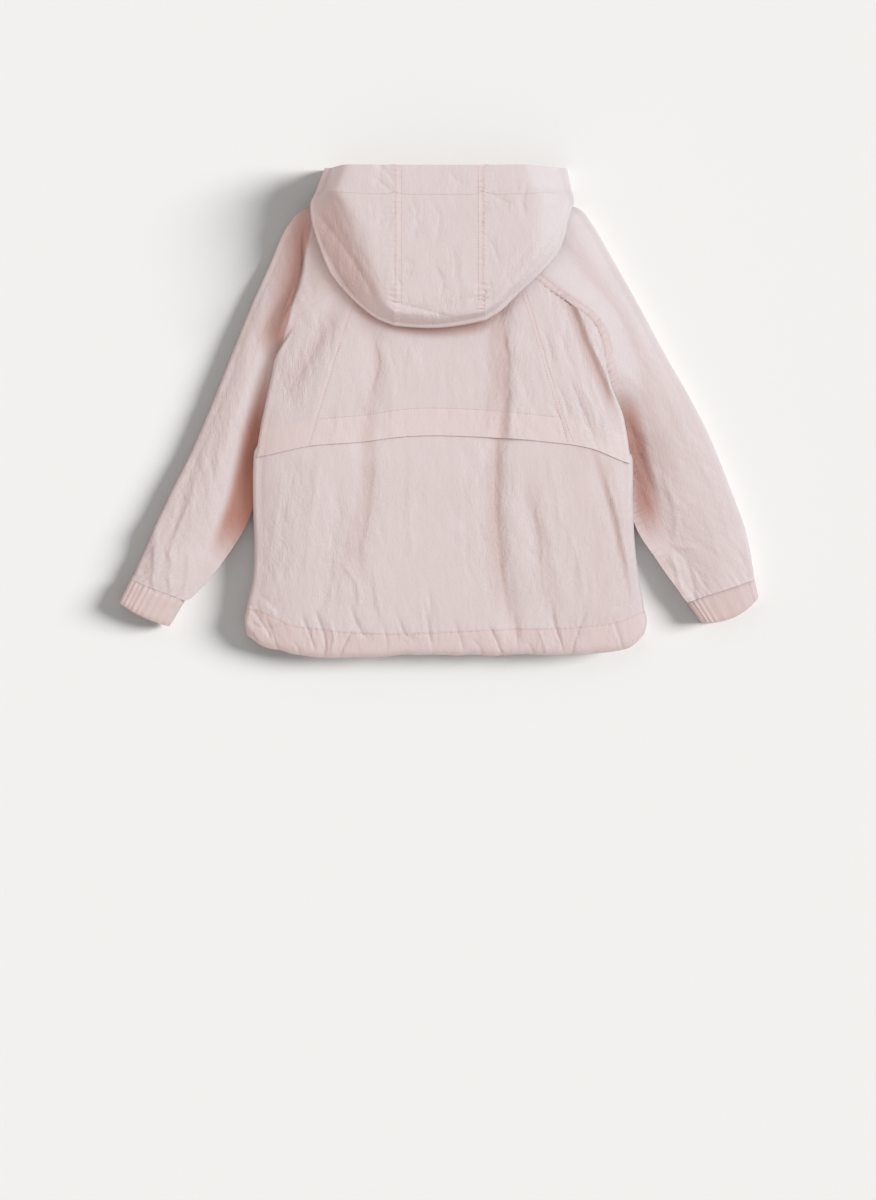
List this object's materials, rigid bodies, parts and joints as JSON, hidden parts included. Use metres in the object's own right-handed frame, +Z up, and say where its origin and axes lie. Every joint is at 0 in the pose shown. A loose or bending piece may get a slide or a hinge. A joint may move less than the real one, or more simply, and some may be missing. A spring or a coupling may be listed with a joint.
{
  "type": "hooded jacket",
  "caption": "Child's hooded zip jacket in pale crinkled nylon, laid on its front with the hood folded down; raglan sleeves, elastic cuffs and hem, vented cape yoke on the back.",
  "frame": {"origin": "on the surface the jacket lies on, below the middle of its outline", "axes": "+Z up from the surface, +Y from the hem to the hood, +X across the jacket to its right as seen from above"},
  "size_m": [0.701, 0.5407, 0.063],
  "materials": {
    "cloth": "crinkled nylon, satin",
    "zip": "woven tape with moulded teeth"
  },
  "bodies": {
    "root": {"yoke_centre": "cloth", "yoke_left": "cloth", "yoke_right": "cloth", "back_panel": "cloth", "front_left": "cloth", "front_right": "cloth", "sleeve_left": "cloth", "sleeve_right": "cloth", "hood_centre": "cloth", "hood_left": "cloth", "hood_right": "cloth", "cuff_left": "cloth", "cuff_right": "cloth", "hem_back": "cloth", "hem_front_left": "cloth", "hem_front_right": "cloth", "front_zip": "zip"}
  },
  "joints": []
}
